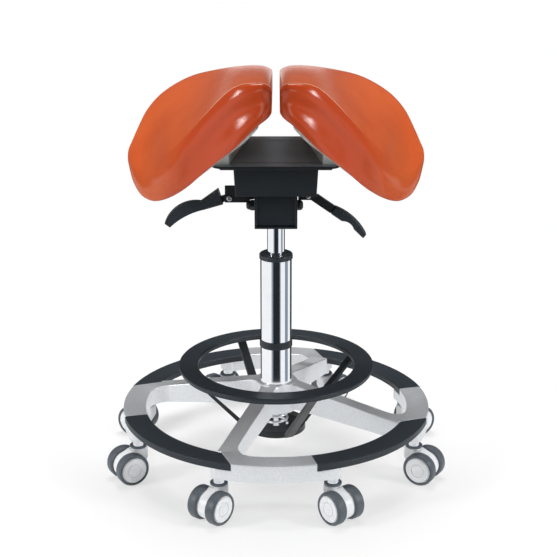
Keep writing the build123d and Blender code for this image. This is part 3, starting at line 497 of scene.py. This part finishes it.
def cutOutline(distance):
    sizes = cushionSizes
    frontY, frontTop, frontBottom, rearY, rearTop, rearBottom = smoothRow(sizes["cuts"], distance)
    depth = rearY - frontY
    deep = fade(depth, 0, sizes["fullDepth"])
    leanShare, *leanFades = sizes["lean"]
    lean = leanShare * depth * fade(distance, *leanFades)
    topY = frontY + lean
    seam = seamShare(distance)
    edgeOut, edgeUp = sizes["seamEdge"]
    creaseDepth, creaseReach = sizes["crease"]
    crease = creaseDepth * (1 - seam) * (1 - fade(distance, *sizes["creaseFades"]))
    seamDrop, edgeDrop = [share * crease for share in sizes["creaseShares"]]
    points = [
        (topY + sizes["seamDepth"] * seam, frontTop - sizes["seamLip"] - seamDrop),
        (topY - edgeOut * seam, frontTop + edgeUp * seam - edgeDrop),
    ]
    for share in sizes["topShares"]:
        rise = sizes["crown"] * deep * arch(share)
        dip = crease * math.exp(-(share * depth / creaseReach) ** 2)
        points.append((between(topY, rearY, share), between(frontTop, rearTop, share) + rise - dip))
    for share in sizes["rearShares"]:
        out = sizes["rearSwell"] * deep * arch(share)
        points.append((rearY + out, between(rearTop, rearBottom, share)))
    for share in sizes["underShares"]:
        sag = sizes["underSag"] * deep * arch(share)
        points.append((between(frontY, rearY, share), between(frontBottom, rearBottom, share) - sag))
    for share in sizes["frontShares"]:
        out = deep * frontOut(distance, share) - lean * share ** 2
        points.append((frontY - out, between(frontBottom, frontTop, share)))
    shoulder, *shoulderFades = sizes["shoulder"]
    shoulderRoom = sizes["shoulderRoom"] * min(depth, frontTop - frontBottom)
    shoulder = min(shoulderRoom, shoulder * fade(distance, *shoulderFades))
    points = roundCorner(points, sizes["seamPoint"], shoulder)
    rearPoint = sizes["seamPoint"] + len(sizes["topShares"]) + 1
    rearRoom = sizes["rearRoom"] * min(depth, rearTop - rearBottom)
    points = roundCorner(points, rearPoint, min(rearRoom, sizes["rearRound"]))
    return [(y * mm, (z + sizes["plateTop"]) * mm) for y, z in points]


def shrunk(outline, keepY, keepZ):
    middleY = sum(y for y, z in outline) / len(outline)
    middleZ = sum(z for y, z in outline) / len(outline)
    return [(between(middleY, y, keepY), between(middleZ, z, keepZ)) for y, z in outline]


def inset(outline, step):
    halves = [(max(values) - min(values)) / 2 for values in zip(*outline)]
    return shrunk(outline, *[1 - step * mm / half for half in halves])


def cushionRings():
    sizes = cushionSizes
    listed = [cut[0] for cut in sizes["cuts"]]
    inner, outer = listed[0], listed[-1]
    radius = sizes["innerRound"]
    rings = [(inner, shrunk(cutOutline(inner), *sizes["innerEnd"]))]
    for step in range(sizes["innerSteps"] + 1):
        angle = math.pi / 2 * step / sizes["innerSteps"]
        distance = inner + radius * (1 - math.cos(angle))
        rings.append((distance, inset(cutOutline(distance), radius * (1 - math.sin(angle)))))
    steps = sizes["between"] + 1
    distances = []
    for first, second in zip(listed, listed[1:]):
        distances += [between(first, second, step / steps) for step in range(steps)]
    distances.append(outer)
    begin = inner + radius + sizes["innerRoom"]
    rings += [(distance, cutOutline(distance)) for distance in distances if distance > begin]
    rings += [(outer + past, shrunk(cutOutline(outer), keep, keep)) for past, keep in sizes["outerEnds"]]
    return rings


def makeCushion(side, hand):
    form = bmesh.new()
    seamHighlightMask = form.verts.layers.float.new("seam")
    frontShadeMask = form.verts.layers.float.new("front")
    frontCount = len(cushionSizes["frontShares"])
    loops = []
    for distance, outline in cushionRings():
        corners = [form.verts.new((hand * distance * mm, y, z)) for y, z in outline]
        # the panel's edge carries the mask of a painted highlight along the seam
        corners[cushionSizes["seamPoint"]][seamHighlightMask] = seamShare(distance)
        # the front panel's points carry the mask of its painted shade
        for corner in corners[-frontCount:]:
            corner[frontShadeMask] = 1 - fade(distance, *cushionSizes["frontShadeFades"])
        loops.append([form.edges.new((corners[i - 1], corners[i])) for i in range(len(corners))])
    for first, second in zip(loops, loops[1:]):
        bmesh.ops.bridge_loops(form, edges=first + second)
    for end in (loops[0], loops[-1]):
        bmesh.ops.edgeloop_fill(form, edges=end)
    smoothFaces(form)
    cover = newPiece(f"cushion_{side}_cover", form, finishes["orange_vinyl"])
    smoother = cover.modifiers.new("smooth", "SUBSURF")
    smoother.levels = smoother.render_levels = cushionSizes["subdivisions"]
    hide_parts(f"cushion_{side}")
    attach(cover, "seat")


for side, hand in (("left", -1), ("right", 1)):
    makeCushion(side, hand)
print("cushions made")


# Castor caps: close the axle's bore in each wheel disc

castorCap = {  # mm
    "face": 25.8,  # from the middle of the axle to the disc's outer face
    "profile": [(4.6, -0.2), (4.6, 0.15), (4.3, 0.35), (2.5, 0.5), (0.8, 0.55)],  # radius, height over it
    "steps": 32,
}


def makeCaps(place, roll):
    centre = Vector(roll["pos_m"])
    axis = Vector(roll["axis"]).normalized()
    form = bmesh.new()
    for hand in (-1, 1):
        turn = (hand * axis).to_track_quat("Z", "Y").to_matrix()
        corners = []
        for radius, height in castorCap["profile"]:
            spot = Vector((radius, 0, castorCap["face"] + height))
            corners.append(form.verts.new(centre + turn @ spot * mm))
        edges = [form.edges.new(pair) for pair in zip(corners, corners[1:])]
        bmesh.ops.spin(
            form, geom=corners + edges, cent=centre, axis=axis, angle=2 * math.pi,
            steps=castorCap["steps"], use_merge=True,
        )
    bmesh.ops.holes_fill(form, edges=[edge for edge in form.edges if edge.is_boundary])
    smoothFaces(form)
    caps = newPiece(f"castor_{place}_caps", form, finishes["castor_white"])
    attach(caps, f"castor_{place}_wheel")


for joint in frame["record"]["behaviour"]["joints"]:
    if joint["name"].endswith("_roll"):
        makeCaps(joint["name"].removeprefix("castor_").removesuffix("_roll"), joint)
print("castor caps made")


# Studio: floor, cards that only reflections see, lights, camera

white = (1, 1, 1, 1)


def emptyFinish(name):
    finish = bpy.data.materials.new(name)
    finish.use_nodes = True
    finish.node_tree.nodes.clear()
    return finish, finish.node_tree


floorSet = {  # metres
    "size": 30,
    "paint": (0.9, 0.9, 0.9, 1),
    "near": 0.25,  # from here the floor turns into the glowing backdrop
    "far": 0.7,
    "nearGlow": 0.6,  # what is left of the glow under the stool, where its shadow shows
}


def makeFloor():
    form = bmesh.new()
    bmesh.ops.create_grid(form, x_segments=1, y_segments=1, size=floorSet["size"])
    finish, tree = emptyFinish("paleFloor")
    output = addNode(tree, "ShaderNodeOutputMaterial")
    paint = addNode(tree, "ShaderNodeBsdfDiffuse", {"Color": floorSet["paint"]})
    glow = addNode(tree, "ShaderNodeEmission", {"Color": white, "Strength": 1.0})
    far = addNode(tree, "ShaderNodeMixShader")
    place = addNode(tree, "ShaderNodeTexCoord")
    reach = addNode(tree, "ShaderNodeVectorMath", operation="LENGTH")
    limits = {"From Min": floorSet["near"], "From Max": floorSet["far"], "To Min": floorSet["nearGlow"]}
    spread = addNode(tree, "ShaderNodeMapRange", limits, interpolation_type="SMOOTHSTEP")
    rays = addNode(tree, "ShaderNodeLightPath")
    seen = addNode(tree, "ShaderNodeMath", operation="MAXIMUM")
    share = addNode(tree, "ShaderNodeMath", operation="MULTIPLY")
    tree.links.new(place.outputs["Object"], reach.inputs[0])
    tree.links.new(reach.outputs["Value"], spread.inputs["Value"])
    tree.links.new(rays.outputs["Is Camera Ray"], share.inputs[0])
    tree.links.new(spread.outputs["Result"], share.inputs[1])
    tree.links.new(share.outputs[0], seen.inputs[0])
    tree.links.new(rays.outputs["Is Glossy Ray"], seen.inputs[1])
    tree.links.new(seen.outputs[0], far.inputs["Fac"])
    tree.links.new(paint.outputs[0], far.inputs[1])
    tree.links.new(glow.outputs[0], far.inputs[2])
    tree.links.new(far.outputs[0], output.inputs["Surface"])
    floor = newPiece("floor", form, finish)


cardSet = {  # metres
    "near": 0.27,
    "far": 6.0,
    "height": 0.0005,
    "leastRay": 0.36,  # a shorter ray misses the cards, so the low base doesn't reflect them
    "steps": 12,
}
cards = {  # degrees round the column from the camera's side, positive to the right, and colour
    "front": (-21, 28, (0.02, 0.024, 0.03)),
    "frontLeft": (-33, -21, (0.3, 0.33, 0.37)),
    "frontRight": (28, 35, (0.42, 0.45, 0.49)),
    "right": (68, 96, (0.26, 0.31, 0.37)),
    "backLeft": (-172, -132, (0.02, 0.022, 0.025)),
    "backRight": (124, 168, (0.02, 0.022, 0.025)),
}


def makeCard(name, begin, end, colour):
    form = bmesh.new()
    first, last = math.radians(begin - 90), math.radians(end - 90)
    corners = []
    for radius in (cardSet["near"], cardSet["far"]):
        spot = (radius * math.cos(first), radius * math.sin(first), cardSet["height"])
        corners.append(form.verts.new(spot))
    edge = form.edges.new(corners)
    bmesh.ops.spin(
        form, geom=[edge], axis=(0, 0, 1), cent=(0, 0, 0), angle=last - first, steps=cardSet["steps"],
    )
    finish, tree = emptyFinish(f"card_{name}")
    output = addNode(tree, "ShaderNodeOutputMaterial")
    glow = addNode(tree, "ShaderNodeEmission", {"Color": (*colour, 1)})
    clear = addNode(tree, "ShaderNodeBsdfTransparent")
    rays = addNode(tree, "ShaderNodeLightPath")
    reach = addNode(tree, "ShaderNodeMath", {1: cardSet["leastRay"]}, operation="GREATER_THAN")
    seen = addNode(tree, "ShaderNodeMixShader")
    tree.links.new(rays.outputs["Ray Length"], reach.inputs[0])
    tree.links.new(reach.outputs[0], seen.inputs["Fac"])
    tree.links.new(clear.outputs[0], seen.inputs[1])
    tree.links.new(glow.outputs[0], seen.inputs[2])
    tree.links.new(seen.outputs[0], output.inputs["Surface"])
    card = newPiece(f"card_{name}", form, finish)
    card.visible_camera = False
    card.visible_diffuse = False
    card.visible_shadow = False
    card.visible_transmission = False


makeFloor()
for name, card in cards.items():
    makeCard(name, *card)

lamps = {  # place, target, width and height in metres, watts
    "leftSoftbox": ((-2.0, -0.95, 1.2), (0, 0, 0.5), 0.46, 0.58, 26),
    "rightSoftbox": ((2.0, -0.95, 1.2), (0, 0, 0.5), 0.46, 0.58, 26),
    "frontSoftbox": ((0, -2.6, 0.95), (0, 0, 0.4), 1.6, 1.0, 11),
    "overheadSoftbox": ((0, 0.4, 1.95), (0, 0.05, 0.6), 1.0, 0.8, 28),
}
flags = {  # what a lamp is kept off, or all that it lights
    "leftSoftbox": ("EXCLUDE", ["cushion_right_cover"]),
    "rightSoftbox": ("EXCLUDE", ["cushion_left_cover"]),
    "frontSoftbox": ("INCLUDE", ["base_casting", "cushion_left_cover", "cushion_right_cover"]),
}


def makeLamp(name, place, target, width, height, watts):
    data = bpy.data.lights.new(name, "AREA")
    data.shape = "RECTANGLE"
    data.size = width
    data.size_y = height
    data.energy = watts
    lamp = bpy.data.objects.new(name, data)
    bpy.context.scene.collection.objects.link(lamp)
    lamp.location = place
    lamp.rotation_euler = (Vector(target) - Vector(place)).to_track_quat("-Z", "Y").to_euler()
    return lamp


def flagLamp(lamp, state, names):
    flagged = bpy.data.collections.new(f"{lamp.name}Flag")
    for name in names:
        flagged.objects.link(bpy.data.objects[name])
    for member in flagged.collection_objects:
        member.light_linking.link_state = state
    lamp.light_linking.receiver_collection = flagged


for name, settings in lamps.items():
    lamp = makeLamp(name, *settings)
    if name in flags:
        flagLamp(lamp, *flags[name])

worldSet = {
    "ambient": 0.3,  # strength of the light from all round
    "reflected": [(0.0, (0.12, 0.12, 0.12, 1)), (0.5, (0.1, 0.103, 0.106, 1))],  # rise of the ray, colour
}


def makeWorld():
    world = bpy.data.worlds.new("studio")
    bpy.context.scene.world = world
    world.use_nodes = True
    tree = world.node_tree
    tree.nodes.clear()
    output = addNode(tree, "ShaderNodeOutputWorld")
    backdrop = addNode(tree, "ShaderNodeBackground", {"Color": white, "Strength": 1.0})
    reflected = addNode(tree, "ShaderNodeBackground", {"Strength": 1.0})
    ambient = addNode(tree, "ShaderNodeBackground", {"Color": white, "Strength": worldSet["ambient"]})
    rays = addNode(tree, "ShaderNodeLightPath")
    direction = addNode(tree, "ShaderNodeTexCoord")
    split = addNode(tree, "ShaderNodeSeparateXYZ")
    ramp = addNode(tree, "ShaderNodeValToRGB")
    for stop, (position, colour) in zip(ramp.color_ramp.elements, worldSet["reflected"]):
        stop.position = position
        stop.color = colour
    glossy = addNode(tree, "ShaderNodeMixShader")
    camera = addNode(tree, "ShaderNodeMixShader")
    seen = addNode(tree, "ShaderNodeMath", operation="MAXIMUM")
    tree.links.new(direction.outputs["Generated"], split.inputs[0])
    tree.links.new(split.outputs["Z"], ramp.inputs["Fac"])
    tree.links.new(ramp.outputs["Color"], reflected.inputs["Color"])
    tree.links.new(rays.outputs["Is Glossy Ray"], glossy.inputs["Fac"])
    tree.links.new(ambient.outputs[0], glossy.inputs[1])
    tree.links.new(reflected.outputs[0], glossy.inputs[2])
    tree.links.new(rays.outputs["Is Camera Ray"], seen.inputs[0])
    tree.links.new(rays.outputs["Is Transmission Ray"], seen.inputs[1])
    tree.links.new(seen.outputs[0], camera.inputs["Fac"])
    tree.links.new(glossy.outputs[0], camera.inputs[1])
    tree.links.new(backdrop.outputs[0], camera.inputs[2])
    tree.links.new(camera.outputs[0], output.inputs["Surface"])


makeWorld()

cameraSet = {  # metres, radians downwards, mm
    "place": (0.0039, -2.265, 1.062),
    "pitch": 0.322,
    "lens": 97.077,
    "sensor": 36,
}


def makeCamera():
    data = bpy.data.cameras.new("camera")
    data.lens = cameraSet["lens"]
    data.sensor_width = cameraSet["sensor"]
    camera = bpy.data.objects.new("camera", data)
    bpy.context.scene.collection.objects.link(camera)
    camera.location = cameraSet["place"]
    camera.rotation_euler = (math.pi / 2 - cameraSet["pitch"], 0, 0)
    bpy.context.scene.camera = camera


makeCamera()
bpy.context.scene.view_settings.view_transform = "Standard"
print("studio ready")
